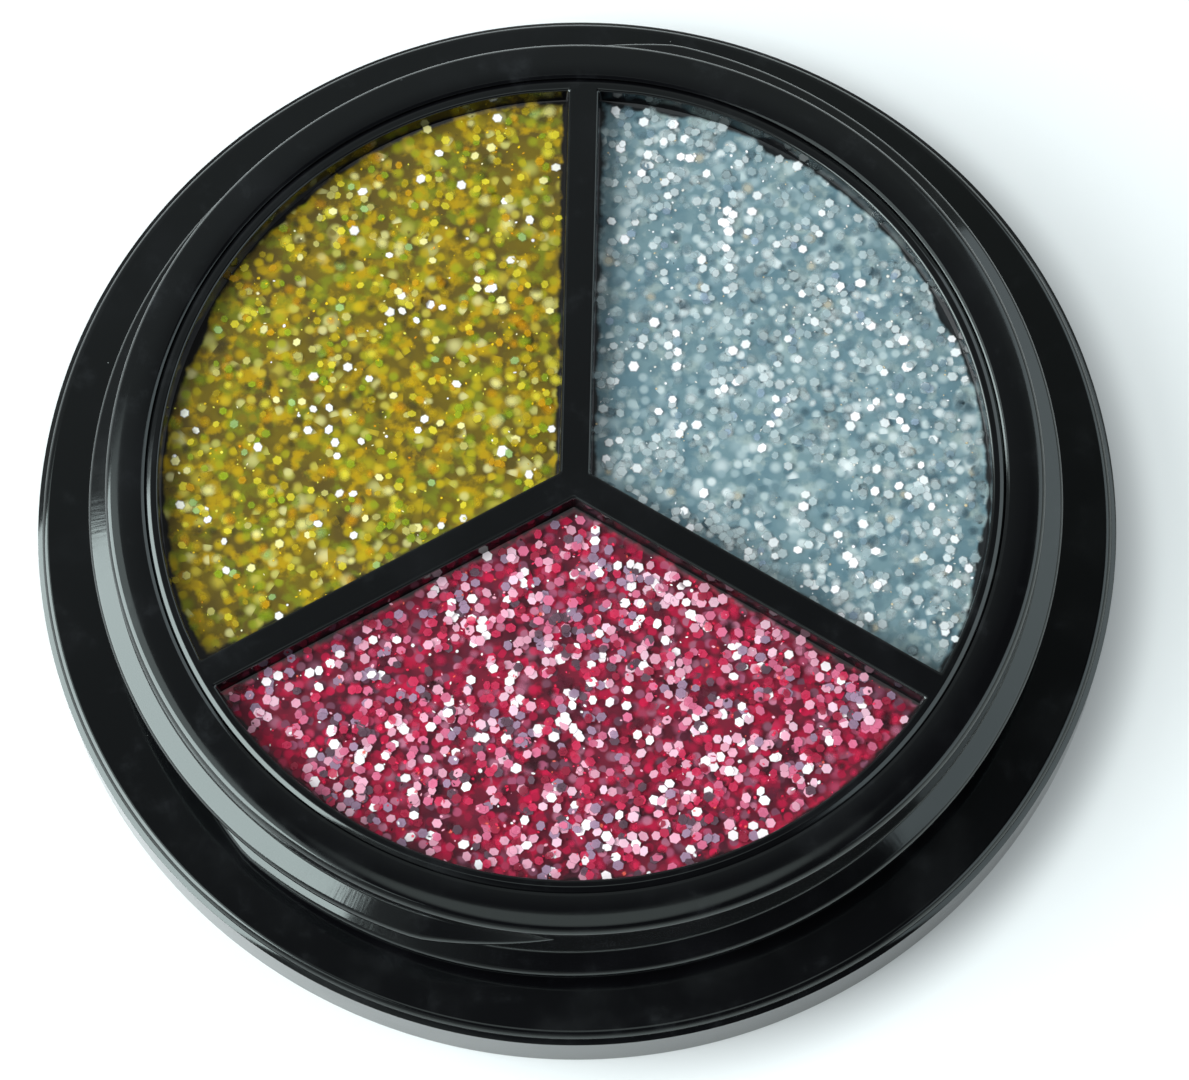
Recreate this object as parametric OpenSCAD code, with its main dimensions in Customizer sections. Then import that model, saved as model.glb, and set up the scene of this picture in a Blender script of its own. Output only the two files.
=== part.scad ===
// Three-colour glitter gel pot: a low round base with a threaded neck, a three-well tray and its gels.
// Millimetres, +Z up. The origin is the centre of the foot on the table, and one divider arm points to +Y.

/* [Base shell] */
// Outer diameter of the base shell
base_d = 40; // [36.8:0.2:60]
// Height of the shell's rim above the table
shell_h = 2.6; // [2.4:0.1:6]
// Thickness of the shell's round wall
shell_wall = 1; // [0.7:0.05:1.3]
// Thickness of the shell's floor
shell_floor = 0.8; // [0.4:0.05:0.9]
// Radius of the rounding on the rim's outer edge
shell_round = 0.2; // [0.05:0.01:0.24]
// Width of the foot ring under the floor
foot_w = 1.4; // [0.8:0.1:4]
// Height of the foot ring
foot_h = 0.3; // [0.1:0.05:0.4]

/* [Flange of the threaded jar] */
// How far the flange's edge stays inside the shell's outer wall
flange_inset = 0.18; // [0.1:0.01:0.5]
// Thickness of the flange's lip over the shell's rim
lip_t = 0.3; // [0.28:0.01:1]
// Chamfer on the flange's top edge
flange_chamfer = 0.22; // [0.05:0.01:0.25]
// Thickness of the flange inside the shell
flange_t = 0.8; // [0.5:0.05:1]
// Wall of the skirt that plugs into the shell
skirt_wall = 0.75; // [0.4:0.05:0.9]
// Radial play between the skirt and the shell
skirt_play = 0.05; // [0.02:0.01:0.1]
// How far the snap bead stands out of the skirt
bead_out = 0.15; // [0.08:0.01:0.25]
// Height of the snap bead
bead_h = 0.4; // [0.2:0.05:0.5]
// Play between the snap bead and its groove
bead_play = 0.05; // [0.02:0.01:0.1]

/* [Neck and rim of the threaded jar] */
// Outer diameter of the neck
neck_d = 34.1; // [30:0.1:35.4]
// Height of the rim above the flange
neck_h = 4.3; // [3.9:0.1:9]
// Thickness of the neck's wall, which is the width of the rim
neck_wall = 1.45; // [1:0.05:2.2]
// Radius of the rounding on the rim's outer edge
rim_round = 0.2; // [0.1:0.01:0.7]
// Chamfer on the rim's inner edge
rim_chamfer = 0.06; // [0.02:0.01:0.2]
// Thickness of the jar's floor
jar_floor = 0.8; // [0.4:0.05:1.2]
// Gap between the jar's floor and the shell's floor
floor_gap = 0.1; // [0.05:0.01:0.3]

/* [Thread] */
// Number of thread ridges
thread_starts = 2; // [1:1:3]
// How far a ridge descends in one full turn
thread_lead = 4.4; // [3:0.1:4.5]
// How far round the neck each ridge runs, in degrees
thread_turn = 250; // [120:5:250]
// How far a ridge stands out of the neck
thread_out = 0.78; // [0.4:0.02:0.9]
// Height of a ridge where it leaves the neck
thread_root = 0.9; // [0.6:0.02:1]
// Height of the flat crest
thread_crest = 0.22; // [0.1:0.02:0.4]
// Depth of a ridge's first turn below the rim, measured to the middle of the crest
thread_drop = 0.9; // [0.5:0.01:1]
// Length of the taper at each end of a ridge, in degrees
thread_taper = 20; // [8:1:40]

/* [Compartment tray] */
// Number of wells
well_count = 3; // [2:1:6]
// Radial play between the tray and the neck's bore
tray_play = 0.05; // [0.03:0.01:0.2]
// How far the tray's top lies below the rim
tray_sink = 0.03; // [0:0.01:0.4]
// Width of the tray's ring at the top, with its chamfer
ring_w = 0.38; // [0.3:0.01:1]
// Chamfer on the tray's outer top edge
tray_chamfer = 0.18; // [0.05:0.01:0.25]
// Width of a divider arm at the top
arm_w = 1; // [0.6:0.02:2.4]
// How far in front of the tray's middle the arms meet
hub_shift = 0.25; // [0:0.01:0.5]
// Draft of the wells' walls, in degrees
well_draft = 5; // [0.5:0.5:8]
// Thickness of the tray's floor
tray_floor = 0.7; // [0.4:0.05:1.4]

/* [Gel and flakes] */
// Depth of the gel's surface below the tray's top
gel_sink = 0.7; // [0.3:0.05:1.4]
// Gap between a gel and the walls of its well
gel_play = 0.02; // [0.01:0.01:0.05]
// Width of a flake across its flats
flake_w = 0.4; // [0.2:0.05:1]
// Thickness of a flake
flake_t = 0.05; // [0.02:0.01:0.1]
// Number of flake places spread over the whole pot
flake_places = 110; // [30:1:160]

/* [Hidden] */
$fn = 96;

// Colours of the plastic, the three gels and their flakes
BLACK = [0.06, 0.06, 0.06];
GOLD = [0.42, 0.38, 0.05];
SILVER = [0.40, 0.48, 0.52];
ROSE = [0.45, 0.08, 0.16];
GOLD_FLAKE = [0.93, 0.83, 0.30];
SILVER_FLAKE = [0.82, 0.88, 0.90];
ROSE_FLAKE = [0.92, 0.45, 0.58];

// Shell
base_r = base_d / 2;
shell_in_r = base_r - shell_wall;
shell_floor_z = foot_h + shell_floor;
foot_in_r = base_r - foot_w;

// Flange, skirt and snap bead
lip_r = base_r - flange_inset;
lip_top_z = shell_h + lip_t;
flange_z = lip_top_z - flange_t;
skirt_r = shell_in_r - skirt_play;
skirt_in_r = skirt_r - skirt_wall;
jar_z = shell_floor_z + floor_gap;
bead_z = (jar_z + flange_z) / 2;

// Neck and rim
neck_r = neck_d / 2;
bore_r = neck_r - neck_wall;
rim_z = lip_top_z + neck_h;
jar_floor_z = jar_z + jar_floor;

// Thread ridges: each reaches into the neck's wall, and its tapered ends vanish below the surface
thread_bury = 0.3;
thread_tip = 0.2;
thread_step = 5;
flank_slope = (thread_root - thread_crest) / 2 / thread_out;
thread_z = rim_z - thread_drop;
thread_first = 96;

// Tray and wells
tray_r = bore_r - tray_play;
tray_z = rim_z - tray_sink;
well_floor_z = jar_floor_z + tray_floor;
well_span = 360 / well_count;
well_r = tray_r - ring_w;
gel_z = tray_z - gel_sink;

// Directions of the wells' middles, anticlockwise from the arm at +Y
arm_first = 90;
gold_dir = arm_first + well_span / 2;
silver_dir = arm_first - well_span / 2;
rose_dir = gold_dir + well_span;

// Flakes: a spiral of equal areas, as seeds lie in a sunflower, kept clear of the walls
golden_angle = 180 * (3 - sqrt(5));
flake_margin = 0.35;
flake_r = flake_w / 2 / cos(30);

// Depth at a height below the tray's top, and what the draft takes off a wall there
function draft_at(z) = (tray_z - z) * tan(well_draft);

// One cross-section of a ridge, at an angle along it: in the tapers it thins and sinks into the neck
function taper(s) = max(0, min(1, min(s, thread_turn - s) / thread_taper));
function ridge_ring(s, first) =
    let (
        k = taper(s),
        out = thread_out * k - thread_tip * (1 - k),
        a = first - s,
        z = thread_z - thread_lead * s / 360,
        half_root = (thread_root / 2 + thread_bury * flank_slope) * (1 + 2 * k) / 3,
        half_crest = thread_crest / 2 * (1 + 2 * k) / 3,
        r_in = neck_r - thread_bury,
        r_out = neck_r + out
    )
    [
        [r_in * cos(a), r_in * sin(a), z - half_root],
        [r_out * cos(a), r_out * sin(a), z - half_crest],
        [r_out * cos(a), r_out * sin(a), z + half_crest],
        [r_in * cos(a), r_in * sin(a), z + half_root],
    ];

// A thread ridge that starts at the angle first and descends clockwise
module ridge(first) {
    steps = ceil(thread_turn / thread_step);
    rings = [for (i = [0:steps]) ridge_ring(thread_turn * i / steps, first)];
    sides = [
        for (i = [0:steps - 1], k = [0:3])
            let (a = 4 * i + k, b = 4 * i + (k + 1) % 4)
                each [[a, a + 4, b], [b, a + 4, b + 4]]
    ];
    last = 4 * steps;
    ends = [[0, 1, 2], [0, 2, 3], [last, last + 2, last + 1], [last, last + 3, last + 2]];
    polyhedron([for (r = rings) each r], concat(sides, ends), convexity = 4);
}

// The space of one well, from its floor up to a height, kept a gap away from its walls
module well_space(middle, top_z, gap) {
    half = well_span / 2;
    difference() {
        rotate_extrude()
            polygon([
                [0, well_floor_z],
                [well_r - draft_at(well_floor_z) - gap, well_floor_z],
                [well_r - draft_at(top_z) - gap, top_z],
                [0, top_z],
            ]);
        for (side = [-1, 1])
            translate([0, -hub_shift, 0])
                rotate([0, 0, middle + side * (half + 90)]) past_arm_wall(gap);
    }
}

// All the space beyond a well's flat wall: the wall runs along Y, and the well lies on its -X side
module past_arm_wall(gap) {
    low_z = well_floor_z - 1;
    high_z = rim_z + 1;
    rotate([90, 0, 0])
        linear_extrude(2 * base_d, center = true)
            polygon([
                [-arm_w / 2 - draft_at(low_z) - gap, low_z],
                [base_d, low_z],
                [base_d, high_z],
                [-arm_w / 2 - draft_at(high_z) - gap, high_z],
            ]);
}

module base_shell() {
    groove_r = skirt_r + bead_out + bead_play;
    groove_h = bead_h / 2 + bead_play;
    color(BLACK)
        rotate_extrude() {
            difference() {
                union() {
                    square([base_r - shell_round, shell_h]);
                    square([base_r, shell_h - shell_round]);
                    translate([base_r - shell_round, shell_h - shell_round]) circle(shell_round);
                }
                square([foot_in_r, foot_h]);
                translate([0, shell_floor_z]) square([shell_in_r, shell_h]);
                polygon([
                    [shell_in_r - 0.01, bead_z - groove_h - bead_out],
                    [groove_r, bead_z - groove_h + bead_play],
                    [groove_r, bead_z + groove_h - bead_play],
                    [shell_in_r - 0.01, bead_z + groove_h + bead_out],
                ]);
            }
        }
}

// Half-section of the jar: cup, neck and rim, flange with its lip, and the skirt with its snap bead
module jar_section() {
    difference() {
        union() {
            translate([0, jar_z]) square([neck_r, rim_z - rim_round - jar_z]);
            translate([0, jar_z]) square([neck_r - rim_round, rim_z - jar_z]);
            translate([neck_r - rim_round, rim_z - rim_round]) circle(rim_round);
            translate([0, flange_z]) square([skirt_r, flange_t]);
            polygon([
                [0, shell_h],
                [lip_r, shell_h],
                [lip_r, lip_top_z - flange_chamfer],
                [lip_r - flange_chamfer, lip_top_z],
                [0, lip_top_z],
            ]);
            translate([skirt_in_r, jar_z]) square([skirt_wall, flange_z - jar_z]);
            polygon([
                [skirt_r - 0.01, bead_z - bead_h / 2],
                [skirt_r + bead_out, bead_z - bead_h / 2 + bead_out],
                [skirt_r + bead_out, bead_z + bead_h / 2 - bead_out],
                [skirt_r - 0.01, bead_z + bead_h / 2],
            ]);
        }
        translate([0, jar_floor_z]) square([bore_r, rim_z]);
        polygon([
            [0, rim_z - rim_chamfer],
            [bore_r, rim_z - rim_chamfer],
            [bore_r + rim_chamfer, rim_z],
            [0, rim_z + 1],
        ]);
    }
}

module threaded_jar() {
    color(BLACK)
        union() {
            rotate_extrude() jar_section();
            for (i = [0:thread_starts - 1]) ridge(thread_first + 360 * i / thread_starts);
        }
}

module compartment_tray() {
    color(BLACK)
        difference() {
            rotate_extrude()
                polygon([
                    [0, jar_floor_z],
                    [tray_r, jar_floor_z],
                    [tray_r, tray_z - tray_chamfer],
                    [tray_r - tray_chamfer, tray_z],
                    [0, tray_z],
                ]);
            for (i = [0:well_count - 1])
                well_space(gold_dir + i * well_span, tray_z + 0.5, 0);
        }
}

module gel(middle) {
    well_space(middle, gel_z, gel_play);
}

// True where a flake's middle lies clear of the walls of the well around the direction middle
function in_well(x, y, middle) =
    let (
        from_hub = [x, y + hub_shift],
        off = (atan2(from_hub.y, from_hub.x) - middle + 900) % 360 - 180,
        from_arm = norm(from_hub) * sin(well_span / 2 - abs(off)),
        room = flake_margin + draft_at(gel_z)
    )
    abs(off) < well_span / 2 && from_arm > arm_w / 2 + room && norm([x, y]) < well_r - room;

// The flakes that lie on the gel of one well
module flakes(middle) {
    for (i = [1:flake_places]) {
        r = well_r * sqrt(i / flake_places);
        a = i * golden_angle;
        if (in_well(r * cos(a), r * sin(a), middle))
            translate([r * cos(a), r * sin(a), gel_z])
                rotate([0, 0, a])
                    linear_extrude(flake_t) circle(flake_r, $fn = 6);
    }
}

module gold_gel() {
    color(GOLD) gel(gold_dir);
}

module silver_gel() {
    color(SILVER) gel(silver_dir);
}

module rose_gel() {
    color(ROSE) gel(rose_dir);
}

module gold_flakes() {
    color(GOLD_FLAKE) flakes(gold_dir);
}

module silver_flakes() {
    color(SILVER_FLAKE) flakes(silver_dir);
}

module rose_flakes() {
    color(ROSE_FLAKE) flakes(rose_dir);
}

base_shell();
threaded_jar();
compartment_tray();
gold_gel();
silver_gel();
rose_gel();
gold_flakes();
silver_flakes();
rose_flakes();
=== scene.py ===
import math
import random

import bmesh
import bpy
from mathutils import Matrix, Vector, noise


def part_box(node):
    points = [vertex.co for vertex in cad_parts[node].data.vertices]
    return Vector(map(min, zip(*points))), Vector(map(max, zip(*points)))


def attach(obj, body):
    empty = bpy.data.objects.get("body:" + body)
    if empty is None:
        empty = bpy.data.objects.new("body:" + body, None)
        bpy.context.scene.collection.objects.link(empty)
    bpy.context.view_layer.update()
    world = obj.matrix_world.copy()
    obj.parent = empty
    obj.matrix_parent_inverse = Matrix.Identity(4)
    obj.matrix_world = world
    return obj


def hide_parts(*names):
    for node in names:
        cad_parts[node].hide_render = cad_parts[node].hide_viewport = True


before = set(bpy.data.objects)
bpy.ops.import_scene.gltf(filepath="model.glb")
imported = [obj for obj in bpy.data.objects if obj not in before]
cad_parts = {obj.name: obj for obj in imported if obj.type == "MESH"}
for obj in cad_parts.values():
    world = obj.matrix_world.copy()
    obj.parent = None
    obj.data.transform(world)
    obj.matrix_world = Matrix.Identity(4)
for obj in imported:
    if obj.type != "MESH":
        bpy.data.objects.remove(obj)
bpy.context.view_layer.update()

bl_info = {
    "name": "Glitter gel pot",
    "version": (1, 0, 0),
    "blender": (4, 5, 0),
    "location": "3D View > Sidebar > Pot",
    "description": "Models a screw-neck pot with a divided tray of glitter gels round its frame",
    "category": "Add Mesh",
}

MM = 0.001
MERGE = 0.001 * MM                          # points that lie nearer than this are one point
SHELL_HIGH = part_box("base_shell")[1]
JAR_LOW, JAR_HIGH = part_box("threaded_jar")
TRAY_LOW, TRAY_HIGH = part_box("compartment_tray")
GEL_LOW, GEL_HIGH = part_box("gold_gel")
RIM_LIFT = 0.12 * MM                        # how far the rim's crown stands over its edge
TRAY_TOP = TRAY_HIGH.z + RIM_LIFT

LATHE_SIDES = 288                           # sides of a turned piece, so that its outline is round
ARC_STEP = math.radians(13)                 # the most that a fillet turns in one face
SMOOTH_ANGLE = math.radians(32)             # edges that turn further than this stay sharp
SLOPE_FALL = math.tan(math.radians(29))     # fall of the slopes on the shell's and tray's edges
CROWN_FALL = math.tan(math.radians(16))     # fall of the rim's crown at its edge
RIDGE_STARTS = (99, 273)                    # of the two ridges of the thread, in degrees
WELL_SPAN = math.radians(120)
WELL_MIDDLES = {"gold": math.radians(150), "silver": math.radians(30), "rose": math.radians(270)}
MENISCUS_REACH, MENISCUS_FALL = 0.75 * MM, 4.0      # how far a gel's edge reaches, how it fades
BARE_DRIFTS = ((2.6, 1.0), (0.8, 0.5))      # bare places along the walls: width in mm, weight
BARE_MOST, BARE_AT_ARMS = 0.3, 0.3          # their greatest depth in mm, its share by the arms


# ---------------------------------------------------------------- sizes and colours


def length(name, description, default):
    """A length that a user can change."""
    return bpy.props.FloatProperty(
        name=name, description=description, default=default, unit="LENGTH", precision=6)


def angle(name, description, degrees):
    """An angle that a user can change."""
    return bpy.props.FloatProperty(
        name=name, description=description, default=math.radians(degrees), unit="ROTATION")


def linear(code):
    """Turns an sRGB hex colour into the linear values that the shaders use."""
    parts = [int(code[i:i + 2], 16) / 255 for i in (1, 3, 5)]
    return tuple(c / 12.92 if c <= 0.04045 else ((c + 0.055) / 1.055) ** 2.4 for c in parts)


def colour(name, description, code):
    """A colour that a user can change, with its default as an sRGB hex code."""
    return bpy.props.FloatVectorProperty(
        name=name, description=description, subtype="COLOR", size=3, min=0, max=1,
        default=linear(code))


class PotSizes(bpy.types.PropertyGroup):
    base_radius: length("Base radius", "Outer radius of the base shell", SHELL_HIGH.x)
    shell_height: length(
        "Shell height", "Height of the shell's rim above the table", SHELL_HIGH.z)
    shell_slope: length(
        "Shell slope", "Width of the slope on the shell's upper outer edge", 0.19 * MM)
    flange_radius: length("Flange radius", "Outer radius of the jar's flange", JAR_HIGH.x)
    flange_height: length(
        "Flange height", "Height of the flange's top above the table", SHELL_HIGH.z + 0.3 * MM)
    flange_round: length("Flange rounding", "Rounding on the flange's top edge", 0.28 * MM)
    neck_radius: length("Neck radius", "Outer radius of the neck under the thread", 17.05 * MM)
    rim_width: length("Rim width", "Thickness of the neck's wall", 1.45 * MM)
    rim_round: length("Rim rounding", "Rounding on the rim's outer edge", 0.30 * MM)
    rim_crown: length(
        "Rim crown", "Width of the slope that the rim falls away in to its edge", 0.45 * MM)
    rim_height: length("Rim height", "Height of the rim above the table", JAR_HIGH.z + RIM_LIFT)
    thread_out: length("Thread depth", "How far a ridge stands out of the neck", 0.78 * MM)
    thread_root: length("Thread root", "Height of a ridge where it leaves the neck", 1.02 * MM)
    thread_crest: length("Thread crest", "Height of a ridge's flat crest", 0.34 * MM)
    thread_lead: length("Thread lead", "How far a ridge descends in a full turn", 4.4 * MM)
    thread_drop: length("Thread drop", "Depth of a ridge's start below the rim", 1.02 * MM)
    thread_turn: angle("Thread turn", "How far round the neck each ridge runs", 250)
    thread_taper: angle("Thread taper", "Length of the taper at each end of a ridge", 20)
    tray_radius: length(
        "Tray radius", "Outer radius of the divided tray", TRAY_HIGH.x + 0.03 * MM)
    tray_slope: length(
        "Tray slope", "Width of the slope on the tray's outer top edge", 0.20 * MM)
    ring_width: length(
        "Ring width", "Width of the tray's ring at the top, with its slope", 0.38 * MM)
    arm_width: length("Arm width", "Width of a divider arm's flat top", 0.92 * MM)
    hub_shift: length(
        "Hub shift", "How far in front of the tray's middle the arms meet", 0.25 * MM)
    well_round: length("Well edge", "Rounding on the upper edges of the wells", 0.1 * MM)
    well_corner: length(
        "Well corner", "Rounding of the wells' corners seen from above", 0.08 * MM)
    well_draft: angle("Well draft", "Slope of the wells' walls", 5)
    meniscus: length("Meniscus", "How far a gel climbs the walls of its well", 0.05 * MM)
    flake_width: length("Flake width", "Width of a flake across its flats", 0.39 * MM)
    flake_thickness: length(
        "Flake thickness", "Thickness of the film that the flakes are cut from", 0.016 * MM)


class PotColours(bpy.types.PropertyGroup):
    plastic: colour("Plastic", "Black pigment of the mouldings", "#08080a")
    gold_gel: colour("Gold gel", "Deep colour of the gold gel", "#55471a")
    silver_gel: colour("Silver gel", "Deep colour of the silver gel", "#5d7a83")
    rose_gel: colour("Rose gel", "Deep colour of the rose gel", "#401721")
    table: colour("Table", "Colour of the table top", "#f2f5f4")


# ---------------------------------------------------------------- modelling helpers


def fresh_start():
    """Leaves edit mode and deselects all, so that the next operator acts on its own piece."""
    if bpy.context.object and bpy.context.object.mode != "OBJECT":
        bpy.ops.object.mode_set(mode="OBJECT")
    bpy.ops.object.select_all(action="DESELECT")


def pick(*pieces):
    """Selects pieces, the last one as the active one."""
    fresh_start()
    for piece in pieces:
        piece.select_set(True)
    bpy.context.view_layer.objects.active = pieces[-1]


def select_where(piece, kind, test):
    """Selects the points, edges or faces of the mesh being edited that pass a test, no others."""
    bpy.ops.mesh.select_mode(type=kind)
    bpy.ops.mesh.select_all(action="DESELECT")
    mesh = bmesh.from_edit_mesh(piece.data)
    for part in {"VERT": mesh.verts, "EDGE": mesh.edges, "FACE": mesh.faces}[kind]:
        part.select_set(test(part))
    bmesh.update_edit_mesh(piece.data)


def apply_modifier(piece, kind, **settings):
    """Adds a modifier with its settings and applies it."""
    pick(piece)
    modifier = piece.modifiers.new(kind.title(), kind)
    for key, value in settings.items():
        setattr(modifier, key, value)
    bpy.ops.object.modifier_apply(modifier=modifier.name)


def rounded(corners):
    """Turns corners (radius from the axis, height, fillet) into a half-section, fillets drawn."""
    points = []
    for i, (x, z, fillet) in enumerate(corners):
        here = Vector((x, z))
        if not fillet:
            points.append(here)
            continue
        before = (Vector(corners[i - 1][:2]) - here).normalized()
        after = (Vector(corners[i + 1][:2]) - here).normalized()
        half = before.angle(after) / 2
        centre = here + (before + after).normalized() * fillet / math.sin(half)
        start = here + before * fillet / math.tan(half) - centre
        end = here + after * fillet / math.tan(half) - centre
        swing = start.angle_signed(end)
        steps = max(2, math.ceil(abs(swing) / ARC_STEP))
        for k in range(steps + 1):
            points.append(centre + Matrix.Rotation(-swing * k / steps, 2) @ start)
    return [Vector((p.x, 0, p.y)) for p in points]


def draw_section(name, points):
    """Draws a half-section as a chain of edges, point by point, and stays in edit mode."""
    fresh_start()
    bpy.ops.mesh.primitive_plane_add(size=MM)
    piece = bpy.context.object
    piece.name = piece.data.name = name
    bpy.ops.object.mode_set(mode="EDIT")
    bpy.ops.mesh.select_mode(type="VERT")
    bpy.ops.mesh.select_all(action="SELECT")
    bpy.ops.mesh.merge(type="CENTER")
    bpy.ops.transform.translate(value=points[0])
    for here, there in zip(points, points[1:]):
        bpy.ops.mesh.extrude_vertices_move(TRANSFORM_OT_translate={"value": there - here})
    bpy.ops.mesh.select_all(action="SELECT")
    return piece


def close_up(doubles=True):
    """Merges the doubles of the mesh being edited, points its faces out and leaves edit mode."""
    bpy.ops.mesh.select_all(action="SELECT")
    if doubles:
        bpy.ops.mesh.remove_doubles(threshold=MERGE)
    bpy.ops.mesh.normals_make_consistent(inside=False)
    bpy.ops.object.mode_set(mode="OBJECT")


def turned(name, corners):
    """A closed piece of revolution, spun from its half-section."""
    piece = draw_section(name, rounded(corners))
    bpy.ops.mesh.spin(steps=LATHE_SIDES, angle=math.tau, center=(0, 0, 0), axis=(0, 0, 1))
    close_up()
    return piece


def smooth(piece):
    """Smooth shading in which the large flat faces stay flat up to their fillets."""
    pick(piece)
    bpy.ops.object.shade_smooth_by_angle(angle=SMOOTH_ANGLE)
    apply_modifier(piece, "WEIGHTED_NORMAL", keep_sharp=True, weight=100)


def dress(piece, material, body, slot, *nodes):
    """Gives a piece its material, and says what it rides on and stands for."""
    piece.data.materials.clear()
    piece.data.materials.append(material)
    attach(piece, body)
    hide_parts(*nodes)


# ---------------------------------------------------------------- materials

# How each kind of node is set where a call says nothing else
USUAL_SETTINGS = {
    "MapRange": {"interpolation_type": "SMOOTHSTEP"},
    "Math": {"operation": "MULTIPLY"},
    "Mix": {"data_type": "RGBA"},
}


def add_node(owner, kind, inputs=(), **settings):
    """Adds a shader node with its settings. Its inputs, in their order or by name, each take a
    value, a socket, or a node for its first output. Colours come without their alpha."""
    tree = owner.node_tree
    node = tree.nodes.new("ShaderNode" + kind)
    for key, value in {**USUAL_SETTINGS.get(kind, {}), **settings}.items():
        setattr(node, key, value)
    in_use = [socket for socket in node.inputs if socket.enabled]
    if isinstance(inputs, dict):
        in_use = [next(s for s in in_use if s.name == name) for name in inputs]
        inputs = inputs.values()
    for socket, value in zip(in_use, inputs):
        if isinstance(value, bpy.types.Node):
            value = next(s for s in value.outputs if s.enabled)
        if isinstance(value, bpy.types.NodeSocket):
            tree.links.new(value, socket)
        else:
            socket.default_value = (*value, 1) if socket.type == "RGBA" else value
    return node


def new_material(name):
    """A material with an empty tree."""
    material = bpy.data.materials.new(name)
    material.use_nodes = True
    material.node_tree.nodes.clear()
    return material


def per_metre(size_mm):
    """Scale of a texture whose features are this many millimetres across."""
    return 1 / (size_mm * MM)


def moulded_abs(name, pigment, rubbed=None):
    """Black ABS, injection moulded: a deep gloss with the faint orange peel of the steel mould,
    which bends the ends of its highlights, a haze of wiped smears and fine dust. Its pigment gives
    the gloss a slightly green cast. Between the two rubbed radii a lid has scored fine lines."""
    material = new_material(name)
    place = add_node(material, "TexCoord").outputs["Object"]
    # Each noise: width of its features in mm, detail, roughness
    peel, grain, patches, smears = (
        add_node(material, "TexNoise", {
            "Vector": place, "Scale": per_metre(width), "Detail": detail, "Roughness": rough})
        for width, detail, rough in (
            (0.30, 4, 0.5), (0.07, 3, 0.5), (3.0, 5, 0.5), (1.5, 7, 0.62)))
    dust = add_node(material, "TexVoronoi", {"Vector": place, "Scale": per_metre(1.1)})
    kinds = add_node(material, "SeparateColor", [dust.outputs["Color"]])
    speck = add_node(material, "MapRange", [dust, 0.035, 0.018, 0.0, 0.6])
    shown = add_node(material, "MapRange", [kinds, 0.80, 0.86])
    dusty = add_node(material, "Math", [speck, shown])
    cloudy = add_node(material, "MapRange", [patches, 0.45, 0.75])
    haze = add_node(material, "MapRange", [smears, 0.56, 0.80, 0.0, 0.5])
    shade = add_node(material, "Mix", [cloudy, pigment, [c * 1.6 for c in pigment]])
    shade = add_node(material, "Mix", [haze, shade, linear("#242628")])
    shade = add_node(material, "Mix", [dusty, shade, linear("#7d8280")])
    rough = add_node(material, "MapRange", [patches, 0.42, 0.68, 0.075, 0.16])
    bump = add_node(
        material, "Bump", {"Strength": 0.10, "Distance": 0.004 * MM, "Height": peel})
    bump = add_node(
        material, "Bump",
        {"Strength": 0.10, "Distance": 0.002 * MM, "Height": grain, "Normal": bump})
    if rubbed:
        # The scores run across the thread: noise stretched along the radius, by the angle round it
        inner, outer = rubbed
        axes = add_node(material, "SeparateXYZ", [place])
        turn = add_node(
            material, "Math", [axes.outputs["Y"], axes.outputs["X"]], operation="ARCTAN2")
        along = add_node(material, "Math", [turn, outer / (0.14 * MM)])
        up = add_node(material, "Math", [axes.outputs["Z"], per_metre(0.5)])
        unrolled = add_node(material, "CombineXYZ", [along, up])
        scores = add_node(material, "TexNoise", {"Vector": unrolled, "Scale": 1.0})
        flat = add_node(material, "CombineXYZ", [axes.outputs["X"], axes.outputs["Y"]])
        reach = add_node(material, "VectorMath", [flat], operation="LENGTH")
        worn = 0.5
        for source, none, full in (
                (reach, inner - 0.05 * MM, inner),
                (reach, outer + 0.02 * MM, outer - 0.05 * MM),
                (patches, 0.40, 0.62)):
            share = add_node(material, "MapRange", [source, none, full])
            worn = add_node(material, "Math", [worn, share])
        bump = add_node(
            material, "Bump",
            {"Strength": worn, "Distance": 0.006 * MM, "Height": scores, "Normal": bump})
    plastic = add_node(material, "BsdfPrincipled", {
        "Base Color": shade, "Roughness": rough, "IOR": 1.55, "Normal": bump,
        "Specular Tint": (0.88, 1.0, 0.96)})
    add_node(material, "OutputMaterial", [plastic])
    return material


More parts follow.
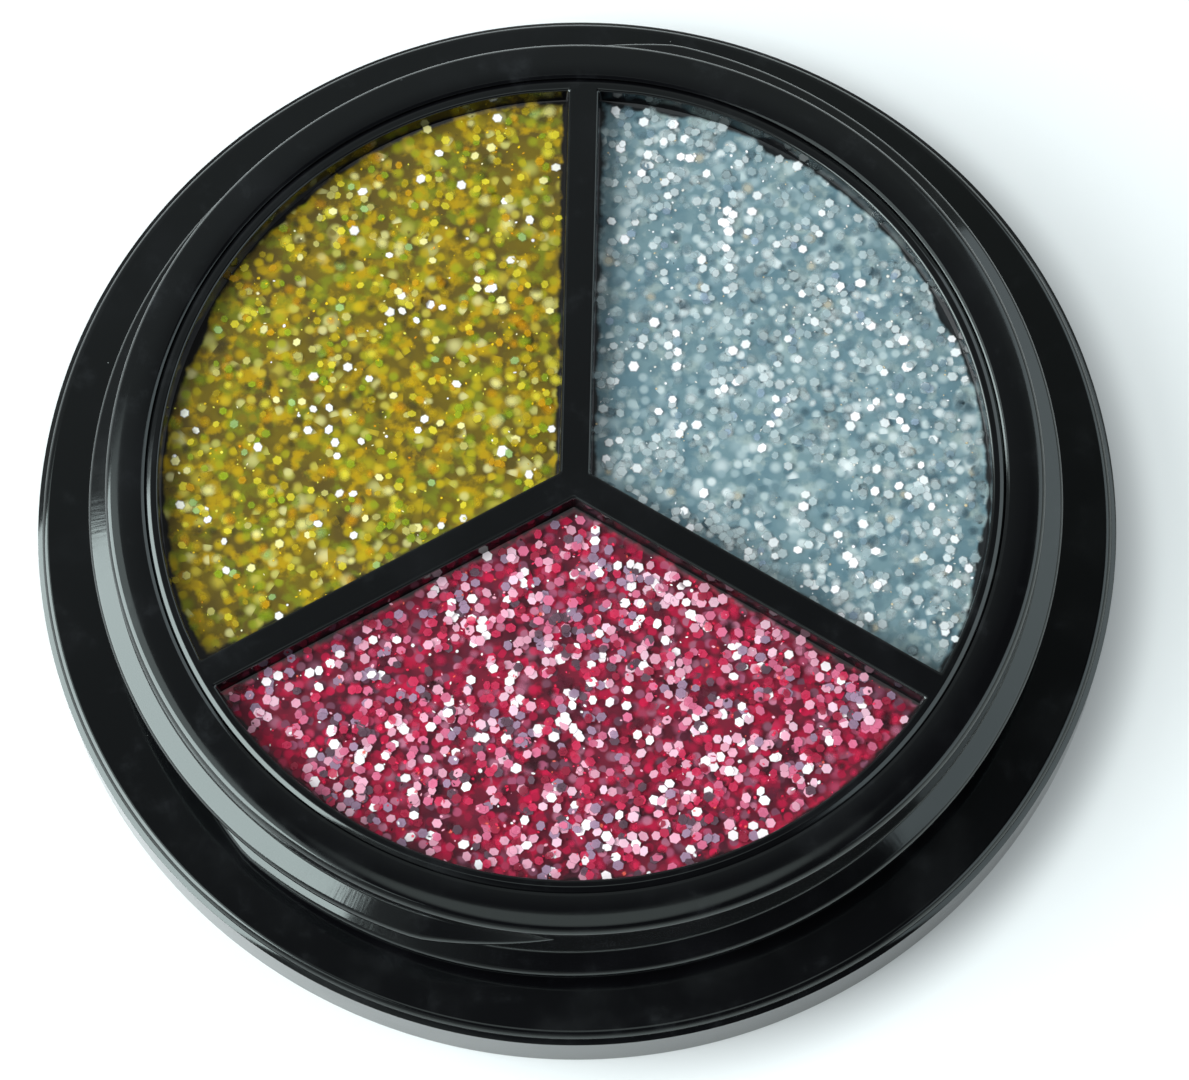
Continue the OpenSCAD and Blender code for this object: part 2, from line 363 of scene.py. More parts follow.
def glitter_gel(name, deep, look):
    """A clear tinted gel loaded with glitter: the flakes below the first layer show as soft round
    patches of their own colours, paler or darker in painted highlight and shade for their tilt,
    under a wet and slightly uneven skin. Beside the walls the gel holds no flakes, so the black
    tray shows through it."""
    material = new_material(name)
    place = add_node(material, "TexCoord").outputs["Object"]
    body, warm, cool, gap = (linear(look[key]) for key in ("body", "warm", "cool", "gap"))
    # Each noise: width of its features in mm, detail
    clouds, streaks, swell = (
        add_node(
            material, "TexNoise", {"Vector": place, "Scale": per_metre(width), "Detail": detail})
        for width, detail in ((2.2, 3), (0.7, 4), (0.9, 2)))
    full = add_node(material, "MapRange", [clouds, 0.36, 0.62])
    shade = add_node(material, "Mix", [full, deep, body])
    hues = add_node(material, "SeparateColor", [streaks.outputs["Color"]])
    for channel, hue, most in (("Red", warm, 0.75), ("Blue", cool, 0.6)):
        share = add_node(material, "MapRange", [hues.outputs[channel], 0.5, 0.66, 0.0, most])
        shade = add_node(material, "Mix", [share, shade, hue])
    # Disc layers: cell in mm, where a disc fades out and is full, strength, share of cells shown
    for index, (cell, edge, core, strength, share) in enumerate(look["layers"]):
        shifted = add_node(material, "Mapping", {
            "Vector": place, "Location": (3.13 * MM * index, 1.71 * MM * index, 0),
            "Rotation": (0, 0, 0.7 * index)})
        discs = add_node(
            material, "TexVoronoi", {"Vector": shifted, "Scale": per_metre(cell)},
            voronoi_dimensions="2D")
        tint = add_node(material, "SeparateColor", [discs.outputs["Color"]])
        disc = add_node(material, "MapRange", [discs, edge / cell, core / cell, 0.0, strength])
        shown = add_node(
            material, "MapRange", [tint.outputs["Green"], 1 - share, 1 - share + 0.06])
        # The discs' tones: the deeper flakes' own colours, with painted glints in the palest and
        # painted shade in the darkest
        film = add_node(material, "ValToRGB", [tint])
        stops = film.color_ramp.elements
        while len(stops) < len(look["tones_and_painted_glints"]):
            stops.new(1)
        for stop, (position, code) in zip(stops, look["tones_and_painted_glints"]):
            stop.position = position
            stop.color = (*linear(code), 1)
        shade = add_node(material, "Mix", [add_node(material, "Math", [disc, shown]), shade, film])
    wall_gap = add_node(material, "Attribute", attribute_name="wall_gap").outputs["Fac"]
    ragged = add_node(material, "MapRange", [streaks, 0.3, 0.7, -0.06, 0.06])
    reach = add_node(material, "Math", [wall_gap, ragged], operation="ADD")
    filled = add_node(material, "MapRange", [reach, 0.0, 0.16])
    shade = add_node(material, "Mix", [filled, gap, shade])
    skin = add_node(material, "Bump", {"Strength": 0.35, "Distance": 0.04 * MM, "Height": swell})
    gel = add_node(material, "BsdfPrincipled", {
        "Base Color": shade, "Roughness": 0.5, "Normal": skin, "Specular IOR Level": 0.1,
        "Coat Weight": 1.0, "Coat Roughness": 0.06, "Coat IOR": 1.42, "Coat Normal": skin})
    add_node(material, "OutputMaterial", [gel])
    return material


def metallised_film(name):
    """PET film, vacuum metallised, lacquered and cut: bright, but softened by the gel over it, so
    each flake keeps one even tone, from near white to deep, painted light and shade for how it lies
    towards the light. The gel veils its edge, the more the deeper it lies."""
    material = new_material(name)
    place = add_node(material, "TexCoord").outputs["Object"]
    tint = add_node(material, "Attribute", attribute_name="flake_tint")
    wear = add_node(material, "TexNoise", {"Vector": place, "Scale": per_metre(0.25)})
    film = add_node(material, "BsdfPrincipled", {
        "Base Color": tint, "Alpha": tint.outputs["Alpha"],
        "Roughness": add_node(material, "MapRange", [wear, 0.3, 0.7, 0.22, 0.40]),
        "Coat Weight": 0.6, "Coat Roughness": 0.12})
    add_node(material, "OutputMaterial", [film])
    return material


def white_table(shade):
    """A white laminate table top: plain and matt, and pale enough to run into the background, with
    a painted soft shadow at the pot's foot.
    """
    material = new_material("White laminate")
    place = add_node(material, "TexCoord").outputs["Object"]
    grain = add_node(material, "TexNoise", {"Vector": place, "Scale": per_metre(30)})
    cloudy = add_node(material, "MapRange", [grain, 0.3, 0.7])
    tone = add_node(material, "Mix", [cloudy, shade, [c * 0.985 for c in shade]])
    # The rays that see the background find the table paler, with a painted soft shadow of the pot
    # that is deepest against its foot, on the side away from the softbox
    shaded = add_node(material, "Mix", [0.42, tone, (0, 0, 0)])
    matt, cover = (
        add_node(material, "BsdfPrincipled", {
            "Base Color": tint, "Roughness": 0.8, "Specular IOR Level": 0.2})
        for tint in (tone, shaded))
    reach = add_node(material, "VectorMath", [place], operation="LENGTH")
    across = add_node(material, "SeparateXYZ", [place])
    # Painted shadow: the glow dims towards the pot's foot, most on the side away from the softbox
    foot = add_node(material, "MapRange", [across, -6 * MM, 19 * MM, 0.86, 0.24])
    near = add_node(material, "MapRange", [reach, 19.85 * MM, 22.3 * MM, foot])
    strength = add_node(material, "Math", [near, 0.50])
    glow = add_node(material, "Emission", [linear("#f0fafa"), strength])
    both = add_node(material, "AddShader", [cover, glow])
    seen = add_node(material, "MixShader", [background_rays(material), matt, both])
    add_node(material, "OutputMaterial", [seen])
    return material


def background_rays(owner):
    """1 for camera, glossy and transmission rays, which all see the same background."""
    path = add_node(owner, "LightPath")
    seen = path.outputs["Is Camera Ray"]
    for name in ("Is Glossy Ray", "Is Transmission Ray"):
        seen = add_node(owner, "Math", [seen, path.outputs[name]], operation="MAXIMUM")
    return seen


# ---------------------------------------------------------------- pieces


def outer_shell(sizes):
    """The low outer cup: foot ring, vertical wall and a rim that slopes away under the flange."""
    wall, floor, foot, foot_width = 1.0 * MM, 0.8 * MM, 0.3 * MM, 1.4 * MM
    r, top = sizes.base_radius, sizes.shell_height
    return turned("outer_shell", [
        (0, foot, 0),
        (r - foot_width, foot, 0.05 * MM),
        (r - foot_width, 0, 0.05 * MM),
        (r, 0, 0.12 * MM),
        (r, top - sizes.shell_slope * SLOPE_FALL, 0.015 * MM),
        (r - sizes.shell_slope, top, 0.03 * MM),
        (r - wall, top, 0.05 * MM),
        (r - wall, foot + floor, 0.2 * MM),
        (0, foot + floor, 0),
    ])


def jar_body(sizes):
    """Cup, neck, rim, flange and skirt of the jar, in one moulding."""
    skirt_gap, skirt_wall, flange_depth = 1.05 * MM, 0.75 * MM, 0.8 * MM
    mouth_width, mouth_depth, crown_round = 0.12 * MM, 0.05 * MM, 1.6 * MM
    neck, bore = sizes.neck_radius, sizes.neck_radius - sizes.rim_width
    top, flange, crown = sizes.rim_height, sizes.flange_height, sizes.rim_crown
    skirt, bottom = sizes.base_radius - skirt_gap, JAR_LOW.z
    return turned("threaded_jar_moulding", [
        (0, TRAY_LOW.z, 0),
        (bore, TRAY_LOW.z, 0.1 * MM),
        (bore, top - mouth_depth, 0.02 * MM),
        (bore + mouth_width, top, 0.02 * MM),
        (neck - crown, top, crown_round),
        (neck, top - crown * CROWN_FALL, sizes.rim_round),
        (neck, flange, 0.14 * MM),
        (sizes.flange_radius, flange, sizes.flange_round),
        (sizes.flange_radius, sizes.shell_height, 0),
        (skirt, sizes.shell_height, 0),
        (skirt, bottom, 0.1 * MM),
        (skirt - skirt_wall, bottom, 0.1 * MM),
        (skirt - skirt_wall, flange - flange_depth, 0.1 * MM),
        (neck, flange - flange_depth, 0.1 * MM),
        (neck, bottom, 0.2 * MM),
        (0, bottom, 0),
    ])


def thread_ridge(sizes, start):
    """One ridge of the screw thread, swept up from its low end and tapered into the neck."""
    bury, skin, foot, sink = 0.3 * MM, 0.01 * MM, 0.16 * MM, 0.2 * MM
    degrees_a_side = 1.5
    neck, out = sizes.neck_radius, sizes.thread_out
    half_root, half_crest = sizes.thread_root / 2, sizes.thread_crest / 2
    section = rounded([
        (neck - bury, -half_root - foot, 0),
        (neck - skin, -half_root - foot, 0),
        (neck, -half_root, 0.1 * MM),
        (neck + out, -half_crest, 0.08 * MM),
        (neck + out, half_crest, 0.24 * MM),
        (neck, half_root, 0.1 * MM),
        (neck - skin, half_root + foot, 0),
        (neck - bury, half_root + foot, 0),
        (neck - bury, -half_root - foot, 0),
    ])
    ridge = draw_section("thread_ridge", section)
    bpy.ops.mesh.remove_doubles(threshold=MERGE)
    rise = sizes.thread_lead * sizes.thread_turn / math.tau
    low_z = sizes.rim_height - sizes.thread_drop - rise
    bpy.ops.transform.translate(value=(0, 0, low_z))
    bpy.ops.object.mode_set(mode="OBJECT")
    steps = math.ceil(math.degrees(sizes.thread_turn) / degrees_a_side)
    apply_modifier(
        ridge, "SCREW", angle=sizes.thread_turn, screw_offset=rise, axis="Z", steps=steps,
        render_steps=steps, use_smooth_shade=True, use_normal_calculate=True)
    # In the tapers the section thins to a third and sinks below the neck's surface
    for point in ridge.data.vertices:
        along = math.atan2(point.co.y, point.co.x) % math.tau
        ends = min(along, sizes.thread_turn - along)
        full = max(0.0, min(1.0, ends / sizes.thread_taper))
        middle = low_z + rise * along / sizes.thread_turn
        reach = math.hypot(point.co.x, point.co.y)
        there = neck + (reach - neck) * full - sink * (1 - full)
        point.co.x *= there / reach
        point.co.y *= there / reach
        point.co.z = middle + (point.co.z - middle) * (1 + 2 * full) / 3
    pick(ridge)
    bpy.ops.object.mode_set(mode="EDIT")
    bpy.ops.mesh.select_all(action="SELECT")
    bpy.ops.mesh.fill_holes(sides=0)
    close_up(doubles=False)
    # transform.rotate turns the other way with no window, so the mesh is turned by its matrix
    ridge.data.transform(Matrix.Rotation(start - sizes.thread_turn, 4, "Z"))
    return ridge


def well_offsets(sizes, middle, point):
    """How far inside a well's two arms and its outer wall a point lies, at the tray's top."""
    from_hub = Vector((point.x, point.y + sizes.hub_shift))
    turn = math.atan2(from_hub.y, from_hub.x) - middle
    arms = [
        from_hub.length * math.sin(WELL_SPAN / 2 + side * turn) - sizes.arm_width / 2
        for side in (1, -1)]
    reach = math.hypot(point.x, point.y)
    return arms[0], arms[1], sizes.tray_radius - sizes.ring_width - reach


def corner_kind(sizes, middle, point):
    """Which of a well's three upright corners a point lies on, or None."""
    away = well_offsets(sizes, middle, point)
    near = min(away) + 0.02 * MM
    for first, second in ((0, 1), (0, 2), (1, 2)):
        if away[first] < near and away[second] < near:
            return first, second
    return None


def round_corners(piece, sizes, middle):
    """Rounds the three upright corners of a well's shape, from its top to its floor."""
    def upright(edge):
        first, last = (corner_kind(sizes, middle, point.co) for point in edge.verts)
        return first is not None and first == last

    select_where(piece, "EDGE", upright)
    bpy.ops.mesh.bevel(offset=sizes.well_corner, segments=6, affect="EDGES", offset_type="OFFSET")
    bpy.ops.mesh.select_mode(type="FACE")


def line_inset(sizes, depth):
    """How far the draft carries a well's wall in from the tray's top edge, at a depth."""
    return sizes.well_round + depth * math.tan(sizes.well_draft)


def well_face(name, sizes, middle, depth, grow=0.0):
    """One flat face with a well's outline at a depth below the tray's top, still in edit mode."""
    corner_reach = 1.2 * MM
    off = line_inset(sizes, depth) if depth > 0 else 0.0
    radius = sizes.tray_radius - sizes.ring_width - off + grow
    half_arm = sizes.arm_width / 2 + off - grow
    fresh_start()
    bpy.ops.mesh.primitive_circle_add(
        vertices=LATHE_SIDES, radius=radius, fill_type="NGON",
        location=(0, 0, TRAY_TOP - depth))
    piece = bpy.context.object
    bpy.ops.object.transform_apply()
    piece.name = piece.data.name = name
    bpy.ops.object.mode_set(mode="EDIT")
    bpy.ops.mesh.select_mode(type="VERT")
    hub = Vector((0, -sizes.hub_shift, 0))
    for side in (-1, 1):
        across = middle + side * (WELL_SPAN / 2 + math.pi / 2)
        outward = Vector((math.cos(across), math.sin(across), 0))
        bpy.ops.mesh.select_all(action="SELECT")
        bpy.ops.mesh.bisect(
            plane_co=hub - outward * half_arm, plane_no=outward, clear_outer=True,
            threshold=MERGE)

    def crowding(point):
        beside = min(well_offsets(sizes, middle, point.co)[:2]) - half_arm + sizes.arm_width / 2
        return beside < corner_reach and not corner_kind(sizes, middle, point.co)

    # Points that crowd a corner would cross over it as the outline shrinks, so they go
    select_where(piece, "VERT", crowding)
    bpy.ops.mesh.dissolve_verts()
    bpy.ops.mesh.select_mode(type="FACE")
    bpy.ops.mesh.select_all(action="SELECT")
    return piece


def step_in(steps):
    """Insets the selected face step by step, each time by a thickness and down by a depth."""
    for thickness, drop in steps:
        bpy.ops.mesh.inset(thickness=thickness, depth=-drop, use_even_offset=True)


def arc_steps(radius, count, convex=True):
    """Steps round a quarter arc: a convex one starts level, and a concave one starts upright."""
    least = 1e-7     # an inset of nothing would leave its faces without area
    angles = [math.pi / 2 * k / count for k in range(count + 1)]
    across = [radius * math.sin(a) for a in angles]
    down = [radius * (1 - math.cos(a)) for a in angles]
    if not convex:
        across, down = down, across
    return [
        (max(across[k + 1] - across[k], least), down[k + 1] - down[k]) for k in range(count)]


def well_cutter(sizes, middle):
    """The solid that hollows out one well: rounded upper edge, sloping walls, filleted floor."""
    floor_round, tray_floor, edge_steps, floor_steps = 0.25 * MM, 0.7 * MM, 5, 4
    cutter = well_face("well_cutter", sizes, middle, 0)
    wall = TRAY_TOP - TRAY_LOW.z - tray_floor - floor_round - sizes.well_round
    step_in(arc_steps(sizes.well_round, edge_steps))
    step_in([(wall * math.tan(sizes.well_draft), wall)])
    step_in(arc_steps(floor_round, floor_steps, convex=False))
    round_corners(cutter, sizes, middle)
    bpy.ops.mesh.select_mode(type="EDGE")
    bpy.ops.mesh.select_all(action="DESELECT")
    bpy.ops.mesh.select_non_manifold()
    bpy.ops.mesh.extrude_region_move(TRANSFORM_OT_translate={"value": (0, 0, MM)})
    bpy.ops.mesh.edge_face_add()
    close_up(doubles=False)
    return cutter


def combine_with_well(piece, operation, sizes, middle):
    """Cuts a well's shape out of a piece, or keeps only what lies inside it."""
    cutter = well_cutter(sizes, middle)
    apply_modifier(piece, "BOOLEAN", operation=operation, solver="EXACT", object=cutter)
    bpy.data.objects.remove(cutter)


def flat_ends(piece):
    """Makes one face of each flat end of a turned block: its fan of slivers would spoil a cut."""
    level = 0.9999
    pick(piece)
    bpy.ops.object.mode_set(mode="EDIT")
    for way in (-1, 1):
        select_where(piece, "FACE", lambda face: face.normal.z * way > level)
        bpy.ops.mesh.dissolve_faces()
    bpy.ops.object.mode_set(mode="OBJECT")


def divided_tray(sizes):
    """The insert: a round block with three wells, whose outer edge slopes so that it drops in."""
    r, top, bottom = sizes.tray_radius, TRAY_TOP, TRAY_LOW.z
    tray = turned("divided_tray", [
        (0, bottom, 0),
        (r, bottom, 0.08 * MM),
        (r, top - sizes.tray_slope * SLOPE_FALL, 0.02 * MM),
        (r - sizes.tray_slope, top, 0.12 * MM),
        (0, top, 0),
    ])
    flat_ends(tray)
    for middle in WELL_MIDDLES.values():
        combine_with_well(tray, "DIFFERENCE", sizes, middle)
    return tray


def skin_rise(sizes, away):
    """How far the gel's skin stands above its middle, at some distance from the well's wall."""
    return sizes.meniscus * math.exp(-MENISCUS_FALL * max(away, 0) / MENISCUS_REACH)


def gel_filling(sizes, shade, middle):
    """A gel that fills its well: level in the middle, with its edge drawn up the walls."""
    floor_gap, top_grow, foot_shrink, count = 0.02 * MM, 0.005 * MM, 0.01 * MM, 9
    edge_depth = TRAY_TOP - GEL_HIGH.z - sizes.meniscus
    gel = well_face(shade + "_gel_filling", sizes, middle, edge_depth, grow=top_grow)
    bpy.ops.mesh.duplicate()
    height = TRAY_TOP - edge_depth - GEL_LOW.z - floor_gap
    step_in([(height * math.tan(sizes.well_draft) + foot_shrink, height)])
    select_where(
        gel, "FACE", lambda face: face.calc_center_median().z > GEL_HIGH.z and len(face.verts) > 4)
    rise = [skin_rise(sizes, MENISCUS_REACH * k / count) for k in range(count + 1)]
    step_in([(MENISCUS_REACH / count, rise[k] - rise[k + 1]) for k in range(count)])
    close_up()
    # The well's own shape trims the filling, which gives it the well's round corners
    combine_with_well(gel, "INTERSECT", sizes, middle)
    # The material reads each point's distance from the glitter's edge, in mm
    gap = gel.data.attributes.new("wall_gap", "FLOAT", "POINT")
    for point, value in zip(gel.data.vertices, gap.data):
        value.value = glitter_edge(sizes, shade, point.co) / MM
    return gel


def glitter_edge(sizes, shade, point):
    """How far inside the ragged edge of a gel's glitter a point lies. The glitter stays off the
    outer wall, and a little off the arms, in drifts."""
    first, second, outer = well_offsets(sizes, WELL_MIDDLES[shade], point)
    here = Vector((point.x, point.y, 0))
    drift = sum(
        noise.noise(here * per_metre(width) + GLITTERS[shade]["shift"]) * weight
        for width, weight in BARE_DRIFTS)
    bare = min(GLITTERS[shade]["bare"] * max(0.0, drift), BARE_MOST) * MM
    line = line_inset(sizes, TRAY_TOP - GEL_HIGH.z)
    return min(first - BARE_AT_ARMS * bare, second - BARE_AT_ARMS * bare, outer - bare) - line


def flake_model(sizes, sides, core):
    """One flake of film, modelled once for every copy of its kind, with an inner and an outer ring:
    the gel over it veils the zone between them."""
    fresh_start()
    radius = sizes.flake_width / 2 / math.cos(math.pi / sides)
    bpy.ops.mesh.primitive_cylinder_add(
        vertices=sides, radius=radius, depth=sizes.flake_thickness)
    flake = bpy.context.object
    bpy.ops.object.mode_set(mode="EDIT")
    select_where(flake, "FACE", lambda face: face.normal.z > 0.5)
    bpy.ops.mesh.inset(thickness=sizes.flake_width / 2 * (1 - core))
    bpy.ops.object.mode_set(mode="OBJECT")
    points = [p.co.copy() for p in flake.data.vertices]
    faces = [tuple(f.vertices) for f in flake.data.polygons]
    inner = [p.xy.length < radius * (1 + core) / 2 for p in points]
    bpy.data.objects.remove(flake)
    return points, faces, inner


def scattered_flakes(sizes, shade):
    """Flakes strewn through one gel's top, in drifts: deep ones whose edges the gel blurs, then
    clear ones, then specks. Each has its own place and tint."""
    edge_scatter, usual_share = 0.10, 0.6      # mm past the margin, share of the spots kept
    company_width, company = 2.0, 1.8          # mm across, how strongly like tints gather
    steepest = 2.5                             # greatest lean, in times the usual tilt
    mix = GLITTERS[shade]
    dice = random.Random(mix["seed"])
    middle = WELL_MIDDLES[shade]
    points, faces, tints = [], [], []
    for kind in mix["kinds"]:
        model_points, model_faces, inner = flake_model(sizes, kind["sides"], kind["core"])
        drift_width, gather = kind["drift"]
        left = kind["count"]
        while left:
            reach = sizes.tray_radius * math.sqrt(dice.random())
            around = middle + WELL_SPAN * (dice.random() - 0.5)
            spot = Vector((
                reach * math.cos(around), reach * math.sin(around) - sizes.hub_shift, 0))
            away = glitter_edge(sizes, shade, spot)
            if away < (kind["margin"] + edge_scatter * dice.random() ** 2) * MM:
                continue
            drift = noise.noise(spot * per_metre(drift_width) + mix["shift"] * 2)
            if dice.random() > usual_share + gather * drift:
                continue
            scale = dice.uniform(*kind["scale"])
            lean = min(abs(dice.gauss(0, kind["tilt"])), steepest * kind["tilt"])
            rise = sizes.flake_width / 2 * scale * math.sin(math.radians(lean))
            height = GEL_HIGH.z + skin_rise(sizes, away) + rise + dice.uniform(*kind["high"]) * MM
            place = (
                Matrix.Translation((spot.x, spot.y, height))
                @ Matrix.Rotation(dice.uniform(0, math.tau), 4, "Z")
                @ Matrix.Rotation(math.radians(lean), 4, "X")
                @ Matrix.Rotation(dice.uniform(0, math.tau), 4, "Z")
                @ Matrix.Diagonal((scale, scale * dice.uniform(*kind["narrow"]), scale, 1)))
            first = len(points)
            points.extend(place @ p for p in model_points)
            faces.extend(tuple(first + i for i in face) for face in model_faces)
            # The tints keep company: each has places where it is commoner
            patch = spot * per_metre(company_width)
            weights = [
                share * max(0.1, 1 + company * noise.noise(patch + mix["shift"] * (k + 3)))
                for k, (share, _, _) in enumerate(kind["tints"])]
            _, code, cover = dice.choices(kind["tints"], weights)[0]
            # Painted light and shade: a flake's tone is made paler or darker at random, for how it
            # lies to the light
            light = dice.uniform(0.8, 1.14)
            tone = [min(1.0, c * light) for c in linear(code)]
            tints.extend((*tone, cover if inside else 0.0) for inside in inner)
            left -= 1
    mesh = bpy.data.meshes.new(shade + "_glitter")
    mesh.from_pydata(points, [], faces)
    layer = mesh.color_attributes.new("flake_tint", "FLOAT_COLOR", "POINT")
    for value, tint in zip(layer.data, tints):
        value.color = tint
    piece = bpy.data.objects.new(shade + "_glitter", mesh)
    bpy.context.collection.objects.link(piece)
    return piece


# Each gel's colours: its body and its warm and cool streaks, the black tray through its clear
# edge, the tones of its deeper flakes with painted glints and shade (place on a ramp, colour) and
# the layers of soft discs of those flakes
GELS = {
    "gold": {
        "body": "#685914", "warm": "#b89608", "cool": "#76821a", "gap": "#0c0b0a",
        "tones_and_painted_glints": ((0.0, "#4a401a"), (0.20, "#7a6818"), (0.38, "#b4960c"), (0.54, "#84921a"),
                   (0.70, "#c4a814"), (0.86, "#b0ae50"), (1.0, "#d6cf90")),
        "layers": ((0.90, 0.44, 0.04, 0.7, 0.55), (0.60, 0.30, 0.06, 0.75, 0.55),
                   (0.48, 0.24, 0.08, 0.8, 0.5)),
    },
    "silver": {
        "body": "#6c868b", "warm": "#98a8a3", "cool": "#52707a", "gap": "#14181a",
        "tones_and_painted_glints": ((0.0, "#4a666f"), (0.35, "#789298"), (0.6, "#9aaeb0"), (0.82, "#b8c8c7"),
                   (1.0, "#e0e7e5")),
        "layers": ((0.90, 0.44, 0.04, 0.7, 0.6), (0.60, 0.30, 0.06, 0.75, 0.6),
                   (0.47, 0.23, 0.08, 0.8, 0.6)),
    },
    "rose": {
        "body": "#6e1c2e", "warm": "#b01238", "cool": "#4c2030", "gap": "#140b0e",
        "tones_and_painted_glints": ((0.0, "#401824"), (0.22, "#8c1834"), (0.48, "#c41a44"), (0.68, "#96506a"),
                   (0.82, "#5a3a48"), (1.0, "#c0748c")),
        "layers": ((0.70, 0.34, 0.05, 0.7, 0.5), (0.50, 0.24, 0.09, 0.8, 0.6),
                   (0.42, 0.20, 0.13, 0.9, 0.6)),
    },
}

# Kinds of flake in each gel. core is the share of its width that the gel leaves clear, drift the
# size of the drifts in mm and how far they gather, high the height over the skin in mm, narrow
# the foreshortening of those that stand on edge, and tints (share, colour, cover)
# The tints are the flakes' own colours, but the near-white ones are painted glints and the darkest
# painted shade, for how a flake lies to the light
GLITTERS = {
    "gold": {
        "seed": 11, "shift": Vector((3.7, 1.2, 0.6)), "bare": 0.3, "kinds": (
            {"count": 330, "sides": 9, "core": 0.25, "scale": (0.95, 1.7), "narrow": (0.8, 1.0),
             "drift": (2.2, 0.9), "tilt": 0.6, "high": (0.006, 0.03), "margin": 0.10,
             "tints": ((5, "#c4a410", 0.55), (2.5, "#d89a04", 0.5), (4, "#8fa414", 0.5),
                       (3, "#e6d83a", 0.65), (1, "#a4c46c", 0.5), (1.8, "#f2ea90", 0.65),
                       (3.5, "#4a4016", 0.6))},
            {"count": 400, "sides": 6, "core": 0.66, "scale": (0.76, 1.05), "narrow": (0.75, 1.0),
             "drift": (1.6, 0.9), "tilt": 1.2, "high": (0.03, 0.06), "margin": 0.10,
             "tints": ((4, "#bca414", 0.6), (2.2, "#d6a008", 0.6), (3, "#93a81a", 0.65),
                       (3, "#e0d030", 0.7), (2, "#cac26a", 0.7), (0.6, "#a6c878", 0.7),
                       (2.2, "#f4ec9c", 0.9), (2.3, "#fffdee", 1.0))},
            {"count": 420, "sides": 6, "core": 0.4, "scale": (0.16, 0.42), "narrow": (0.35, 1.0),
             "drift": (1.4, 0.9), "tilt": 2.0, "high": (0.03, 0.06), "margin": 0.06,
             "tints": ((4, "#f4cc10", 0.8), (4, "#ece450", 0.8), (1, "#ffa60a", 0.6),
                       (2, "#fff8c0", 0.9), (1, "#ffffff", 1.0), (3, "#6a5a1c", 0.6))},
        ),
    },
    "silver": {
        "seed": 23, "shift": Vector((8.1, 4.4, 0.2)), "bare": 0.4, "kinds": (
            {"count": 620, "sides": 9, "core": 0.3, "scale": (0.9, 1.5), "narrow": (0.8, 1.0),
             "drift": (2.0, 0.8), "tilt": 0.6, "high": (0.006, 0.03), "margin": 0.08,
             "tints": ((5, "#9cb2b5", 0.5), (4, "#b0c1c1", 0.55), (3, "#6c8993", 0.5),
                       (3, "#d4dfde", 0.65), (1.6, "#46626d", 0.55), (0.8, "#dcd2b6", 0.45))},
            {"count": 600, "sides": 6, "core": 0.66, "scale": (0.82, 1.12), "narrow": (0.8, 1.0),
             "drift": (1.6, 0.8), "tilt": 1.2, "high": (0.03, 0.06), "margin": 0.06,
             "tints": ((5, "#a5b9bc", 0.6), (5, "#bacacb", 0.65), (1.6, "#7e98a4", 0.6),
                       (3.4, "#d2dddd", 0.75), (0.7, "#a2b8cc", 0.5), (2.8, "#f0f5f4", 0.9),
                       (2.6, "#ffffff", 1.0))},
            {"count": 620, "sides": 6, "core": 0.4, "scale": (0.14, 0.42), "narrow": (0.35, 1.0),
             "drift": (1.4, 0.8), "tilt": 2.0, "high": (0.03, 0.06), "margin": 0.04,
             "tints": ((5, "#d8e0de", 0.7), (3, "#f0ece0", 0.75), (1.4, "#e6cfa0", 0.7),
                       (2, "#ffffff", 0.95), (3, "#4c6670", 0.6))},
        ),
    },
    "rose": {
        "seed": 37, "shift": Vector((1.3, 9.6, 0.8)), "bare": 0.2, "kinds": (
            {"count": 420, "sides": 9, "core": 0.3, "scale": (0.9, 1.5), "narrow": (0.8, 1.0),
             "drift": (2.4, 0.9), "tilt": 0.8, "high": (0.006, 0.03), "margin": 0.10,
             "tints": ((5, "#ba2048", 0.6), (4, "#dc2550", 0.6), (2.6, "#5c1c2c", 0.7),
                       (2, "#c4708c", 0.5), (2, "#3c1620", 0.7))},
            {"count": 1250, "sides": 6, "core": 0.84, "scale": (0.84, 1.06), "narrow": (0.75, 1.0),
             "drift": (1.5, 0.7), "tilt": 2.0, "high": (0.02, 0.10), "margin": 0.10,
             "tints": ((3.0, "#9a203c", 0.8), (3.0, "#cc2e54", 0.75), (4.4, "#d66c8c", 0.85),
                       (5.4, "#e6a4b8", 0.9), (3.4, "#9c8098", 0.85), (2.2, "#5c4450", 0.9),
                       (2.2, "#efc0d0", 0.95), (4.0, "#fff3f4", 1.0))},
            {"count": 900, "sides": 6, "core": 0.5, "scale": (0.14, 0.5), "narrow": (0.35, 1.0),
             "drift": (1.4, 0.8), "tilt": 3.0, "high": (0.05, 0.11), "margin": 0.06,
             "tints": ((4, "#ff2d5c", 0.75), (4, "#d81440", 0.75), (4, "#ffb4c8", 0.8),
                       (2, "#ffffff", 0.95), (3, "#3a1018", 0.8), (2, "#ff6a58", 0.6))},
        ),
    },
}


# ---------------------------------------------------------------- operators


def in_plastic(context, piece, part, body, node, rubbed=None):
    """Smooths a moulding and dresses it in black plastic."""
    smooth(piece)
    pigment = tuple(context.scene.pot_colours.plastic)
    plastic = moulded_abs("Black ABS, moulded, " + part, pigment, rubbed)
    dress(piece, plastic, body, "black_plastic", node)


class POT_OT_shell(bpy.types.Operator):
    """Models the low outer cup that stands on the table"""

    bl_idname = "pot.shell"
    bl_label = "Outer shell"

    def execute(self, context):
        shell = outer_shell(context.scene.pot_sizes)
        in_plastic(context, shell, "shell", "pot", "base_shell")
        return {"FINISHED"}


